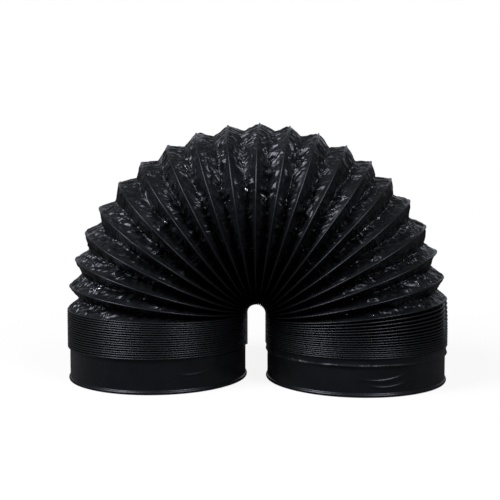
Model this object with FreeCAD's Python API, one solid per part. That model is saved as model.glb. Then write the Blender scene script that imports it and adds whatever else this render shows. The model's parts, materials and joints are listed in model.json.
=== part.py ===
"""Flexible air duct, bent into an upside-down U and standing on its two ends.

Black laminate film is wound on one steel wire. Each leg is a closed-up stack of turns on a smooth cuff, and
the turns between the legs fan open into the arch. Millimetres, +Z up, origin on the floor midway between the
legs. The left leg is on -X. The duct's line runs up the left leg, over the arch and down the right leg.
"""
import FreeCAD, Part
import math
import os

from FreeCAD import Vector

# Wire and the duct's size over its turns
TURN_OUTER_D = 157.0
WIRE_D = 1.0
WIRE_END_RUN = 1.5
WIRE_END_GAP = 0.04

# Legs
THROAT_GAP = 15.7
LEFT_CUFF_H = 28.0
LEFT_TURNS = 16
LEFT_TURN_GAP = 0.64
LEFT_TILT = 2.0
RIGHT_TURNS = 15
RIGHT_TURN_GAP = 0.45
TILT_FADE_LEFT = 1.2
TILT_FADE_RIGHT = 2.4
TILT_LEAD_RIGHT = 0.4

# Arch: how far each turn opens from the one before, in degrees, read from the photographed fan
FAN_ANGLES = [
    7.1, 8.2, 8.5, 8.6, 9.5, 9.0, 9.4, 9.2, 9.8, 9.5,
    9.1, 8.8, 9.0, 8.6, 7.7, 8.4, 8.9, 8.1, 7.8, 6.4,
]
THROAT_STRAIGHT = 1.2

# Film
FILM_WALL = 0.4
FILM_CLEARANCE = 0.2
PLEAT_DEPTH = 8.4
THROAT_FOLD = 0.7
PLEAT_FLAT = 0.06
STACK_FOLD = 4.0
RIB_CREST = 0.12
RIB_VALLEY = 0.35

# Cuffs and the stiff collars inside them
CUFF_STEP = 1.85
CUFF_CLEARANCE = 0.05
COLLAR_WALL = 1.0
COLLAR_BELOW_TURNS = 2.5
COLLAR_LEAD = 0.5
BEAD_R = 1.4
HEM_END_ANGLE = -35.0

# Sizes that follow from those above
wire_r = (TURN_OUTER_D - WIRE_D) / 2
leg_x = (THROAT_GAP + TURN_OUTER_D) / 2
throat_half_width = (THROAT_GAP + WIRE_D) / 2
throat_pitch = (math.pi * throat_half_width + 2 * THROAT_STRAIGHT) / len(FAN_ANGLES)
left_pitch = WIRE_D + LEFT_TURN_GAP
right_pitch = WIRE_D + RIGHT_TURN_GAP
throat_z = LEFT_CUFF_H + LEFT_TURNS * left_pitch
right_cuff_h = throat_z - throat_pitch - RIGHT_TURNS * right_pitch
right_tilt = 180 - LEFT_TILT - sum(FAN_ANGLES)
arch_turns = len(FAN_ANGLES) + 1
crest_r = wire_r - WIRE_D / 2 - FILM_CLEARANCE
cuff_r = TURN_OUTER_D / 2 - CUFF_STEP
collar_r = cuff_r - FILM_WALL - CUFF_CLEARANCE
bore_r = collar_r - COLLAR_WALL
collar_h = min(LEFT_CUFF_H, right_cuff_h) - COLLAR_BELOW_TURNS

ACROSS = Vector(0, 1, 0)


def outward(angle):
    """Direction in the XZ plane, at this many degrees above +X."""
    a = math.radians(angle)
    return Vector(math.cos(a), 0, math.sin(a))


def throat_point(number):
    """Where turn number starts on the throat, its innermost point and its hinge line."""
    s = (number - 1) * throat_pitch - THROAT_STRAIGHT
    top = throat_z + THROAT_STRAIGHT
    if s < 0:
        return Vector(-throat_half_width, 0, top + s)
    if s < math.pi * throat_half_width:
        return Vector(0, 0, top) + outward(180 - math.degrees(s / throat_half_width)) * throat_half_width
    return Vector(throat_half_width, 0, top - (s - math.pi * throat_half_width))


def turn_angle(number):
    """Which way turn number stands out from the throat, in degrees above +X."""
    return 180 - LEFT_TILT - sum(FAN_ANGLES[: number - 1])


# Wire paths: arcs that meet tangentially


def tangent_arc(start, corner, end):
    """Arc from start to end whose end tangents meet at corner, which is as far from the one as from the other."""
    middle = (start + end) / 2
    half_chord = (end - start).Length / 2
    rise = corner - middle
    turn = 2 * math.atan2(rise.Length, half_chord)
    return Part.Arc(start, middle + rise.normalize() * half_chord * math.tan(turn / 4), end).toShape()


def biarc(start, start_way, end, end_way):
    """Two arcs from start to end that leave and arrive along the given directions."""
    span = end - start
    ways = start_way + end_way
    square = 2 * (1 - start_way.dot(end_way))
    along = span.dot(ways)
    reach = (math.sqrt(along * along + square * span.dot(span)) - along) / square
    first = start + start_way * reach
    second = end - end_way * reach
    meet = (first + second) / 2
    return [tangent_arc(start, first, meet), tangent_arc(meet, second, end)]


def wire_tube(stops, first_run, last_run):
    """Round wire along a straight run, arcs through the stops, each a point and a direction, and a run."""
    start = stops[0][0] - stops[0][1] * first_run
    edges = [Part.LineSegment(start, stops[0][0]).toShape()]
    for (here, way), (there, next_way) in zip(stops, stops[1:]):
        edges += biarc(here, way, there, next_way)
    end = stops[-1][0] + stops[-1][1] * last_run
    edges.append(Part.LineSegment(stops[-1][0], end).toShape())
    path = Part.Wire(edges)
    section = Part.Wire(Part.makeCircle(WIRE_D / 2, start, stops[0][1]))
    tube = path.makePipeShell([section], True, False)
    expected = math.pi * WIRE_D ** 2 / 4 * path.Length
    print("  wire", round(path.Length, 1), "mm long, volume over section times length", round(tube.Volume / expected, 4))
    return tube


def ring_point(inner, angle, turn):
    """Point of a turn at this share of a full turn from its innermost point, and its direction round the ring."""
    a = 2 * math.pi * turn
    point = inner + outward(angle) * wire_r * (1 - math.cos(a)) + ACROSS * wire_r * math.sin(a)
    return point, outward(angle) * math.sin(a) + ACROSS * math.cos(a)


def arch_wire(number):
    """One turn of the arch, from its own hinge line to the next turn's."""
    start = throat_point(number)
    advance = throat_point(number + 1) - start
    stops = [(start + ACROSS * WIRE_END_RUN, ACROSS)]
    for quarter in (0.25, 0.5, 0.75):
        share = (1 - math.cos(math.pi * quarter)) / 2
        slope = math.sin(math.pi * quarter) / (4 * wire_r)
        point, way = ring_point(start, turn_angle(number), quarter)
        stops.append((point + advance * share, (way + advance * slope).normalize()))
    stops.append((start + advance - ACROSS * WIRE_END_RUN, ACROSS))
    run = WIRE_END_RUN - WIRE_END_GAP / 2
    return wire_tube(stops, run, run)


# Stacks: a station is a turn's innermost point and the way it stands out from the throat


def left_station(turn):
    """Innermost point and outward angle of the left stack's winding, turn turns above its cuff."""
    tilt = LEFT_TILT * (turn / LEFT_TURNS) ** TILT_FADE_LEFT
    return Vector(-throat_half_width, 0, LEFT_CUFF_H + turn * left_pitch), 180 - tilt


def right_station(turn):
    """Innermost point and outward angle of the right stack's winding at this turn: -1 is the arch's last turn."""
    share = 1 - (turn + TILT_LEAD_RIGHT) / (RIGHT_TURNS + TILT_LEAD_RIGHT)
    tilt = right_tilt * min(1, max(0, share)) ** TILT_FADE_RIGHT
    pitch = throat_pitch if turn < 0 else right_pitch
    return Vector(throat_half_width, 0, throat_z - throat_pitch - turn * pitch), tilt


def stack_centre_line(station, turn):
    """Point of a stack's winding and its direction, from how far the turns climb over a short step."""
    step = 0.01
    point, way = ring_point(*station(turn), turn)
    climb = (ring_point(*station(turn + step), turn)[0] - point) / step
    return point, (way + climb / (2 * math.pi * wire_r)).normalize()


def stack_wire(station, turns):
    """The unbroken winding of one stack, with a straight run at each end."""
    first = station(0)[0]
    last = station(turns)[0]
    stops = [(first + ACROSS * WIRE_END_RUN, ACROSS)]
    for quarter in range(1, 4 * turns):
        stops.append(stack_centre_line(station, quarter / 4))
    stops.append((last - ACROSS * WIRE_END_RUN, ACROSS))
    run = WIRE_END_RUN - WIRE_END_GAP / 2
    gap = least_gap(station, turns)
    print("  least gap of the winding to itself", round(gap, 3), "mm")
    return wire_tube(stops, run, run)


def least_gap(station, turns):
    """Clear distance between neighbouring turns of a stack, measured on points of its centre line."""
    per_turn = 36
    points = [stack_centre_line(station, i / per_turn)[0] for i in range(turns * per_turn + 1)]
    near = range(per_turn // 2, 3 * per_turn // 2)
    gaps = [p.distanceToPoint(points[i + n]) for i, p in enumerate(points) for n in near if i + n < len(points)]
    return min(gaps) - WIRE_D


# Film


def hoop(centre, angle, radius):
    """Circle that stands across the duct, in the plane of outward(angle) and Y."""
    circle = Part.Circle(centre, outward(angle - 90), radius)
    circle.XAxis = ACROSS
    return Part.Wire(circle.toShape())


def sleeve(outer, bore):
    """Tube between two ruled lofts, each given as hoops by centre, angle and radius."""
    skin = Part.makeLoft([hoop(*h) for h in outer], True, True)
    hollow = Part.makeLoft([hoop(*h) for h in bore], True, True)
    return skin.cut(hollow)


def stack_film(station, first, last):
    """Film of one stack: a rib under each wire turn, folded inwards between them, and the bore."""
    levels = [(first, crest_r)]
    for rib in range(first, last):
        levels.append((rib + RIB_CREST, crest_r))
        levels.append((rib + RIB_VALLEY, crest_r - STACK_FOLD))
        levels.append((rib + 1 - RIB_VALLEY, crest_r - STACK_FOLD))
        levels.append((rib + 1 - RIB_CREST, crest_r))
    levels.append((last, crest_r))
    bore = crest_r - STACK_FOLD - FILM_WALL

    def at(turn, radius):
        inner, angle = station(turn)
        return inner + outward(angle) * wire_r, angle, radius

    return sleeve([at(t, r) for t, r in levels], [at(t, bore) for t in range(first, last + 1)])


def arch_film(number):
    """One pleat of the arch, from a turn's plane to the next, with its fold inwards halfway."""
    inners = [throat_point(number), throat_point(number + 1)]
    angles = [turn_angle(number), turn_angle(number + 1)]
    fold_across = 2 * wire_r - 2 * (wire_r - crest_r) - PLEAT_DEPTH - THROAT_FOLD

    def at(share, wall):
        inner = inners[0] + (inners[1] - inners[0]) * share
        angle = angles[0] + (angles[1] - angles[0]) * share
        if share in (0, 1):
            return inner + outward(angle) * wire_r, angle, crest_r - wall
        centre = wire_r - crest_r + THROAT_FOLD + fold_across / 2
        return inner + outward(angle) * centre, angle, fold_across / 2 - wall

    shares = (0, 0.5 - PLEAT_FLAT, 0.5 + PLEAT_FLAT, 1)
    return sleeve([at(s, 0) for s in shares], [at(s, FILM_WALL) for s in shares])


# Cuffs


def turned(edges, x):
    """Solid of revolution about a leg's upright line, from a closed profile of edges in the XZ plane."""
    profile = Part.Face(Part.Wire(edges))
    return profile.revolve(Vector(0, 0, 0), Vector(0, 0, 1), 360).translated(Vector(x, 0, 0))


def lines(*points):
    """Edges through points given as radius and height."""
    places = [Vector(r, 0, z) for r, z in points]
    return [Part.LineSegment(a, b).toShape() for a, b in zip(places, places[1:])]


def bead_arc(radius, start_angle, end_angle):
    """Arc about the bead's centre, in the profile's plane."""
    centre = Vector(collar_r, 0, BEAD_R)
    middle = (start_angle + end_angle) / 2
    points = [centre + outward(a) * radius for a in (start_angle, middle, end_angle)]
    return Part.Arc(*points).toShape()


def end_collar(x):
    """Stiff collar inside a cuff, with a rolled bead round its open end."""
    edges = [bead_arc(BEAD_R, -90, 90)]
    edges += lines(
        (collar_r, 2 * BEAD_R), (collar_r, collar_h), (bore_r, collar_h),
        (bore_r, COLLAR_LEAD), (bore_r + COLLAR_LEAD, 0), (collar_r, 0),
    )
    return turned(edges, x)


def cuff_film(x, height):
    """Wire-free tail of the film, drawn down over the collar and round its bead."""
    inside = BEAD_R + CUFF_CLEARANCE
    outside = inside + FILM_WALL
    wall_in = collar_r + CUFF_CLEARANCE
    inside_top = math.degrees(math.acos(CUFF_CLEARANCE / inside))
    outside_top = math.degrees(math.acos((FILM_WALL + CUFF_CLEARANCE) / outside))
    rim = Vector(collar_r, 0, BEAD_R)
    hem_in = rim + outward(HEM_END_ANGLE) * inside
    hem_out = rim + outward(HEM_END_ANGLE) * outside
    low_in = rim + outward(inside_top) * inside
    low_out = rim + outward(outside_top) * outside
    edges = [bead_arc(inside, HEM_END_ANGLE, inside_top)]
    edges += lines((low_in.x, low_in.z), (wall_in, height), (cuff_r, height), (low_out.x, low_out.z))
    edges.append(bead_arc(outside, outside_top, HEM_END_ANGLE))
    edges += lines((hem_out.x, hem_out.z), (hem_in.x, hem_in.z))
    return turned(edges, x)


def save(name, shape):
    """Write one node, and say what it is."""
    kind = shape.ShapeType
    print(name, kind, "valid", shape.isValid(), "solids", len(shape.Solids), "volume", round(shape.Volume, 1))
    shape.exportStep("parts/" + name + ".step")


def main():
    os.makedirs("parts", exist_ok=True)
    save("left_end_collar", end_collar(-leg_x))
    save("right_end_collar", end_collar(leg_x))
    save("left_cuff_film", cuff_film(-leg_x, LEFT_CUFF_H))
    save("right_cuff_film", cuff_film(leg_x, right_cuff_h))
    save("left_stack_film", stack_film(left_station, 0, LEFT_TURNS))
    save("right_stack_film", stack_film(right_station, -1, RIGHT_TURNS))
    save("left_stack_wire", stack_wire(left_station, LEFT_TURNS))
    save("right_stack_wire", stack_wire(right_station, RIGHT_TURNS))
    for number in range(1, arch_turns + 1):
        save("arch_wire_%02d" % number, arch_wire(number))
    for number in range(1, arch_turns):
        save("arch_film_%02d" % number, arch_film(number))
    print("throat pitch", round(throat_pitch, 3), "right cuff", round(right_cuff_h, 2), "right tilt", right_tilt)
    print("bore", bore_r, "cuff", cuff_r, "leg x", leg_x, "throat z", throat_z, "collar", collar_h)


main()
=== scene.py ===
"""Looks of the flexible air duct, and the studio round it.

The duct is crumpled black film, wound on a wire. An arch of open pleats stands on two legs of closed-up
turns, and each leg ends in a smooth cuff. Its lengths are in millimetres and become metres where a mesh is
made. A turn is measured round from its innermost point, at the throat: half a turn on is the outside of the
bend, and three quarters on faces the camera. The studio is in metres.
"""
import json
import math

import bpy
import numpy as np
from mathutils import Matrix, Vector


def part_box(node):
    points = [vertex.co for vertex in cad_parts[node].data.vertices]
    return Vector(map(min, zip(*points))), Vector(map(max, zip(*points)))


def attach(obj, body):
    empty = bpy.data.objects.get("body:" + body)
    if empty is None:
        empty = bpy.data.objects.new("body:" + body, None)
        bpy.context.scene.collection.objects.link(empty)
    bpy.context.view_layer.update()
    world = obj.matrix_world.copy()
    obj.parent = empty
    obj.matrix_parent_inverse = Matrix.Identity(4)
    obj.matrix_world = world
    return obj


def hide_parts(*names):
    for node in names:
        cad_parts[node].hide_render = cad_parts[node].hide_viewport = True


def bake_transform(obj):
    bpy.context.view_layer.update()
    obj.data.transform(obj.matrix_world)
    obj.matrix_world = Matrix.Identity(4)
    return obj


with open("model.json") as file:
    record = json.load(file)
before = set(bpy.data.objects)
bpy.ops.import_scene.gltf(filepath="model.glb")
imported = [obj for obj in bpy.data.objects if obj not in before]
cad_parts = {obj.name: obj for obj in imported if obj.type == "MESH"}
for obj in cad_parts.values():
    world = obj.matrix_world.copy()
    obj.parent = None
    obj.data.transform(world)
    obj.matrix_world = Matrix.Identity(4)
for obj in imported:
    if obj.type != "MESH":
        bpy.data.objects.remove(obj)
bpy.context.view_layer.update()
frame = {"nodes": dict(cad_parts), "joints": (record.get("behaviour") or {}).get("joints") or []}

MM = 0.001

# Winding and cuffs, as in the CAD model
WIRE_R = 0.5
THROAT_STRAIGHT = 1.2
LEFT_CUFF_H = 28.0
LEFT_TURNS = 16
LEFT_TURN_GAP = 0.64
LEFT_TILT = 2.0
RIGHT_TURNS = 15
RIGHT_TURN_GAP = 0.45
TILT_FADE_LEFT = 1.2
TILT_FADE_RIGHT = 2.4
TILT_LEAD_RIGHT = 0.4
CUFF_R = 76.65
BEAD_R = 1.4

# Film: its thickness and cover, its seams, and how deep it folds
FILM_THICK = 0.15
FILM_OVER_BEAD = 0.3
FILM_OVER_COLLAR = 0.45
SEAM_R = 0.66
SEAM_THROAT_DROP = 0.10
SEAM_WAVE = 0.03
STACK_SEAM_SHARE = 0.44
STACK_WOBBLE_SHARE = 0.4
STACK_FINE_WOBBLE = 0.05
TOP_PLEAT_DEPTH = 5.6
SIDE_PLEAT_DEPTH = 8.4
THROAT_DEPTH_SHARE = 0.06
FOLD_ROUNDING = 0.006
STACK_FOLD = 6.0
STRETCHED_PANEL = 30.0
CUFF_TOP = 5.0

# Unevenness of a pleat, in zones by distance from its wires or by share of the way out from the throat
DEPTH_WAVE = 0.14
FOLD_WANDER = 0.22
BILLOW_HEIGHT = 0.5
BILLOW_FROM_WIRE = (1.0, 5.0)
LOOSE_OUT = (0.15, 0.6)
DEEP_OUT = (0.0, 0.14)
CRUMPLE_EDGE_WANDER = 1.6
CRUMPLE_FROM_WIRE = (2.4, 6.5)
CRUMPLE_OUT = (0.12, 0.4)
CRUMPLE_RIM_LOSS = 0.75
CRUMPLE_RIM_OUT = (0.90, 0.98)
MIDDLE_GAIN = 0.5
MIDDLE_FROM_OUT = (0.15, 0.3)
MIDDLE_TO_OUT = (0.55, 0.8)
GATHER_FROM_WIRE = (0.3, 2.5)
GATHER_OUT = (0.72, 0.92)

# Points round a turn, across a pleat and round a tube
SEAM_SIDES = 10
WIRE_SIDES = 8
PLEAT_AROUND = 640
PLEAT_ACROSS = 44
STACK_AROUND = 240
STACK_ACROSS = 12
CUFF_AROUND = 600
DENSER_OUTSIDE = 0.3
DENSER_IN_FOLD = 0.25

# Seeds of the noise, to which an arch turn adds its number
RIM_CREASE_SEED = 300
RIM_RIDGE_SEED = 320
PATCH_SEED = 400
ZONE_EDGE_SEED = 420
BILLOW_SEED = 440
FOLD_WANDER_SEED = 600
DEPTH_SEED = 640
LEFT_SEAM_SEED = 500
RIGHT_SEAM_SEED = 520
LEFT_FOLDS_SEED = 540
RIGHT_FOLDS_SEED = 560
CUFF_SLACK_SEED = 71
CUFF_BILLOW_SEED = 81
CUFF_CREASE_SEED = 82
CUFF_EDGE_SEED = 83
CUFF_RIDGE_SEED = 84

UP = np.array([0.0, 0.0, 1.0])
ACROSS = np.array([0.0, 1.0, 0.0])

hinges = [j for j in frame["joints"] if j["type"] == "hinge"]
fans = [round(-j["range_deg"][0] - max(0, j["range_deg"][1]), 3) for j in hinges]
wire_low, wire_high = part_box("arch_wire_11")
turn_r = (wire_high.y - wire_low.y) / 2 / MM - WIRE_R
cuff_low, cuff_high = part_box("left_cuff_film")
leg_x = -(cuff_low.x + cuff_high.x) / 2 / MM
throat_half_width = leg_x - turn_r
throat_pitch = (math.pi * throat_half_width + 2 * THROAT_STRAIGHT) / len(fans)
turn_length = 2 * math.pi * turn_r
left_pitch = 2 * WIRE_R + LEFT_TURN_GAP
right_pitch = 2 * WIRE_R + RIGHT_TURN_GAP
throat_z = LEFT_CUFF_H + LEFT_TURNS * left_pitch
right_cuff_h = throat_z - throat_pitch - RIGHT_TURNS * right_pitch
right_tilt = 180 - LEFT_TILT - sum(fans)
arch_turns = len(fans) + 1


# Where the winding runs


def outward(angle):
    """Direction in the XZ plane, at this many degrees above +X."""
    a = math.radians(angle)
    return np.array([math.cos(a), 0.0, math.sin(a)])


def throat_point(number):
    """Where arch turn number starts on the throat."""
    s = (number - 1) * throat_pitch - THROAT_STRAIGHT
    top = throat_z + THROAT_STRAIGHT
    if s < 0:
        return np.array([-throat_half_width, 0, top + s])
    if s < math.pi * throat_half_width:
        way = outward(180 - math.degrees(s / throat_half_width))
        return np.array([0, 0, top]) + way * throat_half_width
    return np.array([throat_half_width, 0, top - (s - math.pi * throat_half_width)])


def turn_angle(number):
    """Which way arch turn number stands out from the throat, in degrees above +X."""
    return 180 - LEFT_TILT - sum(fans[: number - 1])


def ring(inner, angle, share):
    """Points of a turn and the ways in to its middle, at these shares of a turn from the throat."""
    a = 2 * math.pi * share[:, None]
    way = outward(angle)
    points = inner + way * turn_r * (1 - np.cos(a)) + ACROSS * turn_r * np.sin(a)
    inwards = way * np.cos(a) - ACROSS * np.sin(a)
    return points, inwards


def arch_turn(number, share):
    """Wire line of one arch turn, which drifts from its own hinge line to the next one's."""
    start = throat_point(number)
    points, inwards = ring(start, turn_angle(number), share)
    drift = (1 - np.cos(math.pi * share[:, None])) / 2
    return points + (throat_point(number + 1) - start) * drift, inwards


def left_station(turn):
    """Innermost point and outward angle of the left winding, turn turns above its cuff."""
    tilt = LEFT_TILT * (turn / LEFT_TURNS) ** TILT_FADE_LEFT
    return np.array([-throat_half_width, 0, LEFT_CUFF_H + turn * left_pitch]), 180 - tilt


def right_station(turn):
    """Innermost point and outward angle of the right winding at this turn."""
    share = 1 - (turn + TILT_LEAD_RIGHT) / (RIGHT_TURNS + TILT_LEAD_RIGHT)
    tilt = right_tilt * min(1, max(0, share)) ** TILT_FADE_RIGHT
    z = throat_z - throat_pitch - turn * right_pitch
    return np.array([throat_half_width, 0, z]), tilt


def left_winding(turn):
    """Point of the left winding, which runs on into the arch's first turn, and the way in to its middle."""
    if turn > LEFT_TURNS:
        return arch_turn(1, np.array([turn - LEFT_TURNS]))
    return ring(*left_station(turn), np.array([turn % 1.0]))


def right_winding(turn):
    """Point of the right winding, which is the arch's last turn up to 0, and the way in to its middle."""
    if turn < 0:
        return arch_turn(arch_turns, np.array([turn + 1.0]))
    return ring(*right_station(turn), np.array([turn % 1.0]))


def share_out(share):
    """0 at the throat and 1 at the outside of the bend, at these shares of a turn."""
    return (1 - np.cos(2 * math.pi * share)) / 2


def stack_turn(winding, turns):
    """Wire line of a stack at these numbers of turns, and the ways in to its middle."""
    points, inwards = zip(*[winding(turn) for turn in turns])
    return np.concatenate(points), np.concatenate(inwards)


# Repeatable noise on a plane

RIDGE_WIDTH = 0.3
STROKE_SPACING = 5.0
STROKE_END = 0.15


def smooth(x, low, high):
    """0 below low, 1 above high, and a soft step between."""
    t = np.clip((x - low) / (high - low), 0, 1)
    return t * t * (3 - 2 * t)


def lattice(ix, iy, seed):
    """A number from 0 to 1 for each lattice point, always the same for the same seed."""
    n = (ix.astype(np.int64) * 374761393 + iy.astype(np.int64) * 668265263 + seed * 974634777) & 0xFFFFFFFF
    n = ((n ^ (n >> 13)) * 1274126177) & 0xFFFFFFFF
    n = ((n ^ (n >> 16)) * 2246822519) & 0xFFFFFFFF
    return (n ^ (n >> 15)) / 4294967295.0


def waves(x, y, seed):
    """Smooth noise from -1 to 1 with hills about one unit apart."""
    ix, iy = np.floor(x), np.floor(y)
    fx, fy = x - ix, y - iy
    total = np.zeros_like(x)
    for cx in (0, 1):
        for cy in (0, 1):
            angle = 2 * math.pi * lattice(ix + cx, iy + cy, seed)
            dx, dy = fx - cx, fy - cy
            wx = 1 - np.abs(dx)
            wy = 1 - np.abs(dy)
            weight = wx * wx * (3 - 2 * wx) * wy * wy * (3 - 2 * wy)
            total += weight * (np.cos(angle) * dx + np.sin(angle) * dy)
    return total * 1.5


def waves_along(s, length, seed):
    """Smooth noise along a line, with hills about length apart."""
    return waves(s / length, s * 0 + 0.5, seed)


def turned(x, y, slant):
    """The same places on axes that are turned by slant degrees."""
    a = math.radians(slant)
    return x * math.cos(a) + y * math.sin(a), y * math.cos(a) - x * math.sin(a)


def creases(x, y, length, width, slant, seed):
    """Sharp folds about width apart and length long, turned by slant degrees from y."""
    u, v = turned(x, y, slant)
    bend = waves(u / length + 7.1, v / length, seed + 50) * width
    return np.abs(waves((u + bend) / width, v / length, seed)) * 2 - 0.55


def facets(x, y, length, width, slant, seed):
    """Flat triangles from -1 to 1 with sharp folds between them, turned by slant degrees from y."""
    u, v = turned(x, y, slant)
    u, v = u / width, v / length
    u, v = u + 0.6 * waves(u * 0.6, v * 0.6, seed + 50), v + 0.6 * waves(v * 0.6, u * 0.6, seed + 60)
    iu, iv = np.floor(u), np.floor(v)
    fu, fv = u - iu, v - iv
    low, high = lattice(iu, iv, seed), lattice(iu + 1, iv + 1, seed)
    right, up = lattice(iu + 1, iv, seed), lattice(iu, iv + 1, seed)
    near = low + (right - low) * fu + (up - low) * fv
    far = high + (up - high) * (1 - fu) + (right - high) * (1 - fv)
    return np.where(fu + fv < 1, near, far) * 2 - 1


def ridges(x, y, length, width, slant, seed):
    """Thin rounded ridges from 0 to 1, broken into strokes, turned by slant degrees from y."""
    u, v = turned(x, y, slant)
    line = np.exp(-(waves(u / width, v / length, seed) / RIDGE_WIDTH) ** 2)
    return line * smooth(waves(u / STROKE_SPACING, v / length, seed + 30), -STROKE_END, STROKE_END)


def crumple(x, y, seed):
    """Height of the crumpled film: leaf-shaped facets and strokes that slant away from y = 0."""
    out, side = np.abs(x), np.abs(y)
    height = 0.80 * facets(out, side, length=8.0, width=2.8, slant=50, seed=seed)
    height += 0.40 * facets(out, side, length=7.0, width=2.6, slant=24, seed=seed + 1)
    height += 0.20 * facets(x, y, length=6.0, width=3.0, slant=-20, seed=seed + 2)
    height += 0.80 * ridges(out, side, length=13.0, width=4.2, slant=42, seed=seed + 3)
    height += 0.60 * ridges(out, side, length=11.0, width=4.6, slant=18, seed=seed + 4)
    return height


# Meshes


def normals(grid):
    """Unit normal at each point of a grid of points."""
    along = np.gradient(grid, axis=0)
    over = np.gradient(grid, axis=1)
    n = np.cross(along, over)
    return n / np.maximum(np.linalg.norm(n, axis=2, keepdims=True), 1e-9)


def grid_faces(rows, columns, first, flip, round_rows=False, round_columns=False):
    """Four-sided faces over a grid of points numbered from first."""
    last_row = rows if round_rows else rows - 1
    last_column = columns if round_columns else columns - 1
    i, j = np.meshgrid(np.arange(last_row), np.arange(last_column), indexing="ij")
    i, j = i.ravel(), j.ravel()
    i2, j2 = (i + 1) % rows, (j + 1) % columns
    faces = np.stack([i * columns + j, i2 * columns + j, i2 * columns + j2, i * columns + j2], axis=1)
    return first + (faces[:, ::-1] if flip else faces)


def new_piece(name, points, faces, material_of_face, materials):
    """Smooth mesh object from points in millimetres and faces of four corners each."""
    mesh = bpy.data.meshes.new(name)
    mesh.vertices.add(len(points))
    mesh.vertices.foreach_set("co", (points * MM).astype(np.float32).ravel())
    mesh.loops.add(len(faces) * 4)
    mesh.loops.foreach_set("vertex_index", faces.astype(np.int32).ravel())
    mesh.polygons.add(len(faces))
    mesh.polygons.foreach_set("loop_start", np.arange(0, len(faces) * 4, 4, dtype=np.int32))
    for material in materials:
        mesh.materials.append(material)
    mesh.polygons.foreach_set("material_index", material_of_face.astype(np.int32))
    mesh.polygons.foreach_set("use_smooth", np.full(len(faces), True))
    mesh.update(calc_edges=True)
    mesh.validate()
    rest = mesh.attributes.new("rest", "FLOAT_VECTOR", "POINT")
    rest.data.foreach_set("vector", (points * MM).astype(np.float32).ravel())
    piece = bpy.data.objects.new(name, mesh)
    bpy.context.scene.collection.objects.link(piece)
    return piece


def edge_faces(here, ahead, count, flip):
    """Faces that close a film's edge, from its outside to its inside, whose points come count later."""
    faces = np.stack([here, ahead, ahead + count, here + count], axis=1)
    return faces[:, ::-1] if flip else faces


def film_piece(name, grid, round_rows=False, through=None):
    """Film with an outside and an aluminium inside, from a grid whose normals point out of the duct.

    The inside lies FILM_THICK behind the outside, or at the steps in through from it.
    """
    rows, columns = grid.shape[:2]
    inside = grid - normals(grid) * FILM_THICK if through is None else grid + through
    points = np.concatenate([grid.reshape(-1, 3), inside.reshape(-1, 3)])
    count = rows * columns
    outer_faces = grid_faces(rows, columns, 0, False, round_rows)
    inner_faces = grid_faces(rows, columns, count, True, round_rows)
    faces = [outer_faces, inner_faces]
    for offset, flip in ((0, True), (columns - 1, False)):
        line = np.arange(rows) * columns + offset
        ahead = np.roll(line, -1) if round_rows else line[1:]
        here = line if round_rows else line[:-1]
        faces.append(edge_faces(here, ahead, count, flip))
    if not round_rows:
        for start, flip in ((0, False), ((rows - 1) * columns, True)):
            line = start + np.arange(columns)
            faces.append(edge_faces(line[:-1], line[1:], count, flip))
    inner = np.concatenate([np.full(len(part), part is inner_faces) for part in faces])
    return new_piece(name, points, np.concatenate(faces), inner, [film_out, film_in])


def tube_piece(name, line, inwards, radii, sides, material):
    """Round tube along a line of points, with an even number of sides and flat ends."""
    along = np.gradient(line, axis=0)
    along /= np.linalg.norm(along, axis=1, keepdims=True)
    side = np.cross(along, inwards)
    side /= np.linalg.norm(side, axis=1, keepdims=True)
    up = np.cross(side, along)
    turn = 2 * math.pi * np.arange(sides) / sides
    rings = [line + radii[:, None] * (up * math.cos(t) + side * math.sin(t)) for t in turn]
    grid = np.stack(rings, axis=1)
    rows = len(line)
    points = grid.reshape(-1, 3)
    faces = [grid_faces(rows, sides, 0, True, round_columns=True)]
    for row, flip in ((0, False), (rows - 1, True)):
        points = np.concatenate([points, line[row][None]])
        middle = len(points) - 1
        here = row * sides + np.arange(0, sides, 2)
        cap = np.stack([here, here + 1, np.roll(here, -1), np.full(len(here), middle)], axis=1)
        faces.append(cap[:, ::-1] if flip else cap)
    faces = np.concatenate(faces)
    return new_piece(name, points, faces, np.zeros(len(faces)), [material])


def points_of(piece):
    """A piece's points, in millimetres."""
    co = np.zeros(len(piece.data.vertices) * 3, np.float32)
    piece.data.vertices.foreach_get("co", co)
    return co.reshape(-1, 3).astype(float) / MM


# Materials

NOISE_LOW = 0.3
NOISE_HIGH = 0.7
GLOSS_TINT = (0.80, 0.84, 1.0, 1)
MOTTLE_SCALE = 60
GLOSS_SCALE = 90
FINE_SCALE = 420
PLASTIC_GRAIN_SCALE = 900
STEEL_GRAIN_SCALE = 700


def new_material(name):
    """Node material, its nodes, its links and its main shader."""
    material = bpy.data.materials.new(name)
    material.use_nodes = True
    tree = material.node_tree
    return material, tree.nodes, tree.links, tree.nodes["Principled BSDF"]


def rest_position(nodes):
    """Where each point is at rest, so that a pattern stays on the film when it moves."""
    node = nodes.new("ShaderNodeAttribute")
    node.attribute_name = "rest"
    return node.outputs["Vector"]


def noise_node(nodes, links, position, scale, detail, roughness=0.5, distortion=0.0):
    """Noise texture of this scale, in features per metre."""
    node = nodes.new("ShaderNodeTexNoise")
    node.inputs["Scale"].default_value = scale
    node.inputs["Detail"].default_value = detail
    node.inputs["Roughness"].default_value = roughness
    node.inputs["Distortion"].default_value = distortion
    if position is not None:
        links.new(position, node.inputs["Vector"])
    return node.outputs["Fac"]


def spread_node(nodes, links, value, low, high):
    """Number from low to high that follows a noise."""
    node = nodes.new("ShaderNodeMapRange")
    node.inputs["From Min"].default_value = NOISE_LOW
    node.inputs["From Max"].default_value = NOISE_HIGH
    node.inputs["To Min"].default_value = low
    node.inputs["To Max"].default_value = high
    links.new(value, node.inputs["Value"])
    return node.outputs["Result"]


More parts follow.
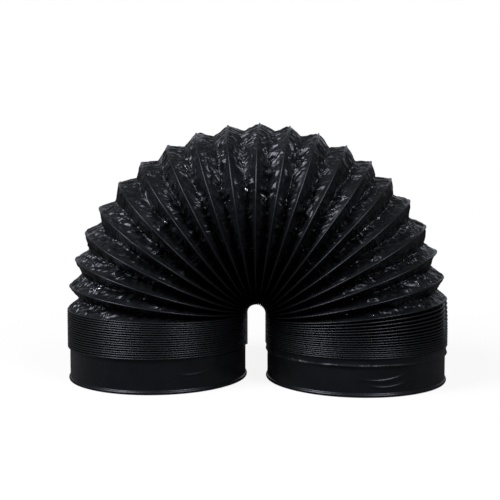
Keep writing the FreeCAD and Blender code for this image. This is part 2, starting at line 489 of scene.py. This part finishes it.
def bump_node(nodes, links, shader, grain, height_mm):
    """Fine relief of this height on the shader, from a noise."""
    bump = nodes.new("ShaderNodeBump")
    bump.inputs["Distance"].default_value = height_mm * MM
    links.new(grain, bump.inputs["Height"])
    links.new(bump.outputs["Normal"], shader.inputs["Normal"])


def film_material(name, colour, metallic, rough_low, rough_high, bump_mm, level):
    """Thin laminate: a faint mottle in its colour, patchy gloss and fine creases, unless bump_mm is 0."""
    material, nodes, links, shader = new_material(name)
    position = rest_position(nodes)
    shader.inputs["Metallic"].default_value = metallic
    shader.inputs["Specular IOR Level"].default_value = level
    shader.inputs["Specular Tint"].default_value = GLOSS_TINT
    mottle = spread_node(nodes, links, noise_node(nodes, links, position, MOTTLE_SCALE, detail=3), 0.8, 1.2)
    tint = nodes.new("ShaderNodeVectorMath")
    tint.operation = "SCALE"
    tint.inputs[0].default_value = colour
    links.new(mottle, tint.inputs["Scale"])
    links.new(tint.outputs["Vector"], shader.inputs["Base Color"])
    gloss = noise_node(nodes, links, position, GLOSS_SCALE, detail=4)
    links.new(spread_node(nodes, links, gloss, rough_low, rough_high), shader.inputs["Roughness"])
    if bump_mm > 0:
        fine = noise_node(nodes, links, position, FINE_SCALE, detail=3, roughness=0.55, distortion=0.6)
        bump_node(nodes, links, shader, fine, bump_mm)
    return material


def plastic_material():
    """Plain moulded black plastic with a fine grain."""
    material, nodes, links, shader = new_material("collar_plastic")
    shader.inputs["Specular IOR Level"].default_value = 0.4
    shader.inputs["Base Color"].default_value = (0.012, 0.012, 0.013, 1)
    grain = noise_node(nodes, links, None, PLASTIC_GRAIN_SCALE, detail=2)
    links.new(spread_node(nodes, links, grain, 0.42, 0.55), shader.inputs["Roughness"])
    bump_node(nodes, links, shader, grain, 0.03)
    return material


def steel_material():
    """Drawn spring steel."""
    material, nodes, links, shader = new_material("spring_steel")
    shader.inputs["Metallic"].default_value = 1.0
    shader.inputs["Base Color"].default_value = (0.42, 0.42, 0.43, 1)
    grain = noise_node(nodes, links, None, STEEL_GRAIN_SCALE, detail=3)
    links.new(spread_node(nodes, links, grain, 0.3, 0.45), shader.inputs["Roughness"])
    return material


film_out = film_material("duct_film", colour=(0.0048, 0.0051, 0.0064), metallic=0.0,
                         rough_low=0.25, rough_high=0.37, bump_mm=0.05, level=0.32)
film_in = film_material("foil_inside", colour=(0.55, 0.56, 0.57), metallic=1.0,
                        rough_low=0.28, rough_high=0.42, bump_mm=0.06, level=0.5)
seam_film = film_material("seam_film", colour=(0.0030, 0.0032, 0.0040), metallic=0.0,
                          rough_low=0.36, rough_high=0.42, bump_mm=0, level=0.38)
collar_plastic = plastic_material()
spring_steel = steel_material()


# Arch


def seam_radii(share, seed, radius=SEAM_R):
    """Radius of the film wrapped round the wire: a little uneven, and drawn tight at the throat."""
    tight = SEAM_THROAT_DROP * (1 - smooth(share_out(share), 0.0, 0.3))
    return radius - tight + SEAM_WAVE * waves_along(share * turn_length, 11.0, seed)


def arch_seam(number):
    """Film wrapped and glued round one turn of the arch's wire, and the steel wire inside it."""
    share = np.linspace(0, 1, STACK_AROUND + 1)
    line, inwards = arch_turn(number, share)
    seam_r = seam_radii(share, number)
    seam = tube_piece("arch_seam_%02d" % number, line, inwards, seam_r, SEAM_SIDES, seam_film)
    wire_r = np.full(len(share), WIRE_R)
    wire = tube_piece("arch_spring_%02d" % number, line, inwards, wire_r, WIRE_SIDES, spring_steel)
    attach(seam, "turn_%02d" % number)
    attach(wire, "turn_%02d" % number)
    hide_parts("arch_wire_%02d" % number)


def pleat_depth(number, share, gap):
    """How deep the pleat folds inwards: as its panels' width says, but hardly at the throat."""
    middle = math.radians((turn_angle(number) + turn_angle(number + 1)) / 2)
    outside = TOP_PLEAT_DEPTH + (SIDE_PLEAT_DEPTH - TOP_PLEAT_DEPTH) * abs(math.cos(middle)) ** 0.7
    panel = math.hypot(outside, gap.max() / 2)
    out = share_out(share)
    uneven = DEPTH_WAVE * waves_along(share * turn_length, 24, DEPTH_SEED + number)
    uneven = uneven * smooth(out, *LOOSE_OUT)
    depth = np.sqrt(panel ** 2 - (gap / 2) ** 2) * (1 + uneven)
    return depth * (THROAT_DEPTH_SHARE + (1 - THROAT_DEPTH_SHARE) * smooth(out, *DEEP_OUT))


def pleat_fold(number, share, v):
    """Profile across the pleat, from 0 at both wires to 1 at its fold, which wanders a little."""
    wander = FOLD_WANDER * waves_along(share * turn_length, 19, FOLD_WANDER_SEED + number)
    wander = wander * smooth(share_out(share), *LOOSE_OUT)
    off = v[None] + wander[:, None] * (1 - v ** 2)[None]
    low, high = math.sqrt(FOLD_ROUNDING), math.sqrt(1 + FOLD_ROUNDING)
    return 1 - (np.sqrt(off ** 2 + FOLD_ROUNDING) - low) / (high - low)


def arch_pleat(number):
    """One crumpled pleat of film, from one turn's wire to the next."""
    even = np.linspace(0, 1, PLEAT_AROUND)
    share = even + DENSER_OUTSIDE * np.sin(2 * math.pi * even) / (2 * math.pi)
    here, inwards = arch_turn(number, share)
    there, next_inwards = arch_turn(number + 1, share)
    inwards = inwards + next_inwards
    inwards /= np.linalg.norm(inwards, axis=1, keepdims=True)
    gap = np.linalg.norm(there - here, axis=1)
    depth = pleat_depth(number, share, gap)
    even = np.linspace(-1, 1, PLEAT_ACROSS)
    v = even * (1 - DENSER_IN_FOLD + DENSER_IN_FOLD * even ** 2)
    grid = here[:, None] + (there - here)[:, None] * ((v + 1) / 2)[None, :, None]
    grid = grid + inwards[:, None] * (depth[:, None] * pleat_fold(number, share, v))[:, :, None]
    grid = grid + normals(grid) * pleat_crumple(number, share, v, gap, depth)[:, :, None]
    piece = film_piece("arch_pleat_%02d" % number, grid)
    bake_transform(piece)
    hinge = throat_point(number + 1)
    wedge_share(points_of(piece), hinge, turn_angle(number), fans[number - 1])
    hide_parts("arch_film_%02d" % number)


def pleat_crumple(number, share, v, gap, depth):
    """Height of a pleat's unevenness, which is none along the wires and none at the throat.

    It is crumples in the fold, soft billows, and gathers at the outside of the bend.
    """
    half_panel = np.hypot(depth, gap / 2)
    from_wire = (1 - np.abs(v))[None] * half_panel[:, None]
    x = np.repeat(((share - 0.5) * turn_length)[:, None], len(v), axis=1)
    y = np.repeat((v * half_panel.max())[None], len(share), axis=0)
    out = share_out(share)[:, None]
    edge = CRUMPLE_EDGE_WANDER * waves(x / 9.0, y / 30.0, ZONE_EDGE_SEED + number)
    zone = smooth(from_wire + edge, *CRUMPLE_FROM_WIRE) * smooth(out, *CRUMPLE_OUT)
    zone = zone * (1 - CRUMPLE_RIM_LOSS * smooth(out, *CRUMPLE_RIM_OUT))
    patches = 0.5 + 0.65 * smooth(waves(x / 15.0, y / 12.0, PATCH_SEED + number), -0.3, 0.3)
    middle = 1 + MIDDLE_GAIN * smooth(out, *MIDDLE_FROM_OUT) * (1 - smooth(out, *MIDDLE_TO_OUT))
    billows = BILLOW_HEIGHT * waves(x / 13.0, y / 9.0, BILLOW_SEED + number)
    billows = billows * smooth(from_wire, *BILLOW_FROM_WIRE) * smooth(out, *LOOSE_OUT)
    gathers = 0.8 * creases(x, y, length=24.0, width=5.0, slant=7, seed=RIM_CREASE_SEED + number)
    gathers += 0.6 * ridges(x, y, length=20.0, width=5.0, slant=-6, seed=RIM_RIDGE_SEED + number)
    gathers = gathers * smooth(from_wire, *GATHER_FROM_WIRE) * smooth(out, *GATHER_OUT)
    return crumple(x, y, 10 * number) * zone * patches * middle + billows + gathers


def wedge_share(points, hinge, angle, fan):
    """How far each point lies from one turn's plane to the next one's, as a share of the hinge's angle."""
    offset = points - hinge
    past = np.degrees(np.arctan2(offset @ outward(angle - 90), offset @ outward(angle)))
    return past / fan


# Stacks

# A winding stops this far, in turns, before the next turn's first point
JUST_SHORT = 1e-6
# Share of each of two directions in the one between them
HALF_WAY = 0.7


def stack_seam(name, winding, turns, gap, replaced, seed):
    """Film wrapped round a stack's winding, whose turns lie a little unevenly, and the wire inside it."""
    at = np.linspace(0, turns - JUST_SHORT, turns * STACK_AROUND + 1)
    line, inwards = stack_turn(winding, at)
    wobble = STACK_WOBBLE_SHARE * gap * waves(at * 0.9, at * 0 + 0.5, seed)
    wobble = wobble + STACK_FINE_WOBBLE * waves(at * 2.3, at * 0 + 0.5, seed + 1)
    line = line + UP * wobble[:, None]
    radii = seam_radii(at, seed, STACK_SEAM_SHARE * (2 * WIRE_R + gap))
    seam = tube_piece(name + "_seam", line, inwards, radii, SEAM_SIDES, seam_film)
    wire = tube_piece(name + "_spring", line, inwards, np.full(len(at), WIRE_R), WIRE_SIDES, spring_steel)
    for piece, sides in ((seam, SEAM_SIDES), (wire, WIRE_SIDES)):
        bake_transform(piece)
    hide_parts(replaced)


def stack_film(name, winding, first, turns, replaced, seed):
    """Film folded inwards between the closed-up turns of a stack, and between it and the arch."""
    at = np.linspace(first, first + turns - JUST_SHORT, turns * STACK_AROUND + 1)
    here, inwards = stack_turn(winding, at)
    there, next_inwards = stack_turn(winding, at + 1)
    inwards = inwards + next_inwards
    inwards /= np.linalg.norm(inwards, axis=1, keepdims=True)
    v = np.linspace(-1, 1, STACK_ACROSS + 1)
    fold = 1 - np.abs(v) ** 4
    s = at * turn_length
    x, y = s[:, None] + 0 * v, 0 * s[:, None] + v * STRETCHED_PANEL / 2
    wrinkles = 0.9 * facets(x, y, length=16.0, width=7.0, slant=25, seed=seed)
    wrinkles += 0.6 * facets(x, y, length=9.0, width=4.0, slant=-15, seed=seed + 1)
    deep = STACK_FOLD * fold[None] + wrinkles * smooth(fold, 0.4, 1.0)[None]
    grid = here[:, None] + (there - here)[:, None] * ((v + 1) / 2)[None, :, None]
    grid = grid + inwards[:, None] * deep[:, :, None]
    # thick both across the closed folds and across the stretched film
    through = (inwards[:, None] - normals(grid)) * FILM_THICK * HALF_WAY
    piece = film_piece(name, grid, through=through)
    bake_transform(piece)
    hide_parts(replaced)


# Cuffs


def cuff_profile(height):
    """Radius and height of the cuff's outside, from the rolled rim up to the first turn."""
    bead_out = BEAD_R + FILM_OVER_BEAD
    collar_r = CUFF_R - FILM_OVER_COLLAR
    angles = np.radians(np.linspace(-35, 75, 14))
    rim = [(collar_r + bead_out * math.cos(a), BEAD_R + bead_out * math.sin(a)) for a in angles]
    wall = [(CUFF_R, z) for z in np.linspace(4.2, height - 1.6, 60)]
    top = [(CUFF_R + 0.05, height - 1.1), (turn_r - 0.5, height - 0.3), (turn_r, height)]
    return np.array(rim + wall + top)


def left_rise(a):
    """How many turns the left winding has climbed above its cuff at these angles."""
    return a / (2 * math.pi) % 1.0


def right_rise(a):
    """How many turns the right winding still lies above its cuff at these angles."""
    return 1 - (0.5 - a / (2 * math.pi)) % 1.0


def cuff(name, x, height, pitch, rise, replaced, shape):
    """Smooth tail of the film below a stack, whose top follows the winding."""
    profile = cuff_profile(height)
    around = 2 * math.pi * np.arange(CUFF_AROUND) / CUFF_AROUND
    radius = np.repeat(profile[None, :, 0], len(around), axis=0)
    z = np.repeat(profile[None, :, 1], len(around), axis=0)
    a = np.repeat(around[:, None], len(profile), axis=1)
    radius = radius + shape(a, z, height)
    rise = rise(a) * smooth(z, height - CUFF_TOP, height)
    grid = np.stack([x + radius * np.cos(a), radius * np.sin(a), z + rise * pitch], axis=2)
    piece = film_piece(name, grid, round_rows=True)
    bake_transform(piece)
    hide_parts(replaced)


def slack(a, z, height):
    """The faint unevenness of film drawn over the collar."""
    s = a * CUFF_R
    between = smooth(z, 4, 10) * (1 - smooth(z, height - 4, height - 1))
    return 0.10 * waves(s / 40, z / 14, CUFF_SLACK_SEED) * between


def wrinkle(a, z, at, height, length, slant, width, rise):
    """One small ridge in the film, round an angle and a height, slanted up to the right by slant degrees.

    Its ends curve up a little.
    """
    s = (a - math.radians(at)) * CUFF_R
    along, over = turned(s, z - height, slant)
    over = over - 0.25 * along ** 2 / length
    return rise * np.exp(-(2 * along / length) ** 4 - (over / width) ** 2)


def left_cuff_shape(a, z, height):
    """Almost smooth, with one small wrinkle at the front."""
    front = wrinkle(a, z, at=301, height=15.0, length=24, slant=4, width=0.8, rise=0.4)
    return slack(a, z, height) + front


def right_cuff_shape(a, z, height):
    """Gathered below the last turn, with a ridge under the gathers and slanted wrinkles at the front."""
    s = a * CUFF_R
    low = height - 7.4 + 0.6 * waves(s / 30, s * 0, CUFF_EDGE_SEED)
    band = smooth(z, low, low + 1.4) * (1 - smooth(z, height - 1.5, height))
    folds = 0.15 * creases(s, z, length=20, width=4.5, slant=8, seed=CUFF_CREASE_SEED)
    gathers = band * (0.7 + 0.5 * waves(s / 16, z / 6, CUFF_BILLOW_SEED) + folds)
    ridge = 0.9 * np.exp(-((z - low - 1.0) / 1.3) ** 2)
    ridge = ridge * (0.9 + 0.5 * waves(s / 26, s * 0, CUFF_RIDGE_SEED))
    front = wrinkle(a, z, at=283, height=13.6, length=34, slant=5, width=1.0, rise=0.7)
    front += wrinkle(a, z, at=286, height=8.2, length=30, slant=4, width=0.9, rise=0.6)
    return gathers + ridge + front + slack(a, z, height)


# Making the pieces


for turn in range(1, arch_turns + 1):
    arch_seam(turn)
for turn in range(1, arch_turns):
    arch_pleat(turn)
stack_seam("left_stack", left_winding, LEFT_TURNS, LEFT_TURN_GAP,
           "left_stack_wire", LEFT_SEAM_SEED)
stack_seam("right_stack", right_winding, RIGHT_TURNS, RIGHT_TURN_GAP,
           "right_stack_wire", RIGHT_SEAM_SEED)
stack_film("left_stack_folds", left_winding, 0, LEFT_TURNS,
           "left_stack_film", LEFT_FOLDS_SEED)
stack_film("right_stack_folds", right_winding, -1, RIGHT_TURNS,
           "right_stack_film", RIGHT_FOLDS_SEED)
cuff("left_cuff", -leg_x, LEFT_CUFF_H, left_pitch, left_rise,
     "left_cuff_film", left_cuff_shape)
cuff("right_cuff", leg_x, right_cuff_h, right_pitch, right_rise,
     "right_cuff_film", right_cuff_shape)

# The collars keep their CAD shape and get a finish
for node in ("left_end_collar", "right_end_collar"):
    collar = frame["nodes"][node]
    collar.data.materials.clear()
    collar.data.materials.append(collar_plastic)


# Studio

CAMERA_AT = Vector((0.0295, -0.7231, 0.1641))
CAMERA_TURN = math.radians(2.78)
CAMERA_DIP = math.radians(4.23)
LENS = 59.9
SENSOR = 36.0
LAMPS_FACE = Vector((0, 0, 0.1))
AMBIENT = 0.12
FLOOR_HALF = 6.0
FLOOR_GREY = 0.8
FLOOR_GREY_IN_GLOSS = 0.10
FLOOR_WHITE_SHARE = 0.88
SHADOW_FADES_FROM = 0.25
SHADOW_FADES_TO = 0.5


def add_camera():
    """The photograph's viewpoint."""
    data = bpy.data.cameras.new("camera")
    data.lens = LENS
    data.sensor_width = SENSOR
    camera = bpy.data.objects.new("camera", data)
    way = Vector((-math.sin(CAMERA_TURN), math.cos(CAMERA_TURN), 0)) * math.cos(CAMERA_DIP)
    way.z = -math.sin(CAMERA_DIP)
    camera.location = CAMERA_AT
    camera.rotation_mode = "QUATERNION"
    camera.rotation_quaternion = way.to_track_quat("-Z", "Y")
    bpy.context.scene.collection.objects.link(camera)
    bpy.context.scene.camera = camera


def add_lamp(name, azimuth, elevation, distance, width, height, power, colour=(1, 1, 1)):
    """Soft box that faces the duct from this direction, 0 being the camera's side and + to the right."""
    data = bpy.data.lights.new(name, "AREA")
    data.shape = "RECTANGLE"
    data.size = width
    data.size_y = height
    data.energy = power
    data.color = colour
    lamp = bpy.data.objects.new(name, data)
    a, e = math.radians(azimuth), math.radians(elevation)
    back = Vector((math.sin(a) * math.cos(e), -math.cos(a) * math.cos(e), math.sin(e)))
    lamp.location = LAMPS_FACE + back * distance
    lamp.rotation_mode = "QUATERNION"
    lamp.rotation_quaternion = back.to_track_quat("Z", "Y")
    lamp.visible_camera = False
    bpy.context.scene.collection.objects.link(lamp)


def mix_node(nodes, links, share, first, second):
    """Mix of two shaders, by a number or by a node's output."""
    mix = nodes.new("ShaderNodeMixShader")
    if isinstance(share, float):
        mix.inputs["Fac"].default_value = share
    else:
        links.new(share, mix.inputs["Fac"])
    links.new(first, mix.inputs[1])
    links.new(second, mix.inputs[2])
    return mix.outputs["Shader"]


def add_world():
    """White to the camera, and dim grey light from all round."""
    world = bpy.data.worlds.new("world")
    world.use_nodes = True
    nodes, links = world.node_tree.nodes, world.node_tree.links
    nodes.clear()
    path = nodes.new("ShaderNodeLightPath")
    white = nodes.new("ShaderNodeBackground")
    white.inputs["Color"].default_value = (1, 1, 1, 1)
    grey = nodes.new("ShaderNodeBackground")
    grey.inputs["Color"].default_value = (AMBIENT, AMBIENT, AMBIENT, 1)
    out = nodes.new("ShaderNodeOutputWorld")
    seen = path.outputs["Is Camera Ray"]
    both = mix_node(nodes, links, seen, grey.outputs["Background"], white.outputs["Background"])
    links.new(both, out.inputs["Surface"])
    bpy.context.scene.world = world


def diffuse_node(nodes, grey):
    """Matte shader of this grey."""
    shader = nodes.new("ShaderNodeBsdfDiffuse")
    shader.inputs["Color"].default_value = (grey, grey, grey, 1)
    return shader.outputs["BSDF"]


def floor_material():
    """White to the camera, apart from a faint shadow near the duct, and dark in the film's gloss."""
    material = bpy.data.materials.new("floor")
    material.use_nodes = True
    nodes, links = material.node_tree.nodes, material.node_tree.links
    nodes.clear()
    white = nodes.new("ShaderNodeEmission")
    white.inputs["Color"].default_value = (1, 1, 1, 1)
    shadowed = diffuse_node(nodes, FLOOR_GREY)
    near = mix_node(nodes, links, FLOOR_WHITE_SHARE, shadowed, white.outputs["Emission"])
    place = nodes.new("ShaderNodeNewGeometry")
    distance = nodes.new("ShaderNodeVectorMath")
    distance.operation = "LENGTH"
    links.new(place.outputs["Position"], distance.inputs[0])
    far = nodes.new("ShaderNodeMapRange")
    far.inputs["From Min"].default_value = SHADOW_FADES_FROM
    far.inputs["From Max"].default_value = SHADOW_FADES_TO
    links.new(distance.outputs["Value"], far.inputs["Value"])
    seen = mix_node(nodes, links, far.outputs["Result"], near, white.outputs["Emission"])
    path = nodes.new("ShaderNodeLightPath")
    gloss = diffuse_node(nodes, FLOOR_GREY_IN_GLOSS)
    both = mix_node(nodes, links, path.outputs["Is Camera Ray"], gloss, seen)
    out = nodes.new("ShaderNodeOutputMaterial")
    links.new(both, out.inputs["Surface"])
    return material


def add_floor():
    """Wide flat floor, which isn't part of the duct."""
    mesh = bpy.data.meshes.new("floor")
    corners = [(x * FLOOR_HALF, y * FLOOR_HALF, 0) for x, y in ((-1, -1), (1, -1), (1, 1), (-1, 1))]
    mesh.from_pydata(corners, [], [(0, 1, 2, 3)])
    mesh.materials.append(floor_material())
    floor = bpy.data.objects.new("floor", mesh)
    bpy.context.scene.collection.objects.link(floor)


add_camera()
add_lamp("left_box", azimuth=-56, elevation=43, distance=1.5, width=0.6, height=0.85, power=26)
add_lamp("right_box", azimuth=41, elevation=43, distance=1.5, width=0.5, height=0.75, power=15)
add_lamp("back_card", azimuth=180, elevation=24, distance=1.6, width=2.4, height=0.9, power=4.5,
         colour=(0.86, 0.88, 1.0))
add_world()
add_floor()
bpy.context.scene.view_settings.view_transform = "Standard"
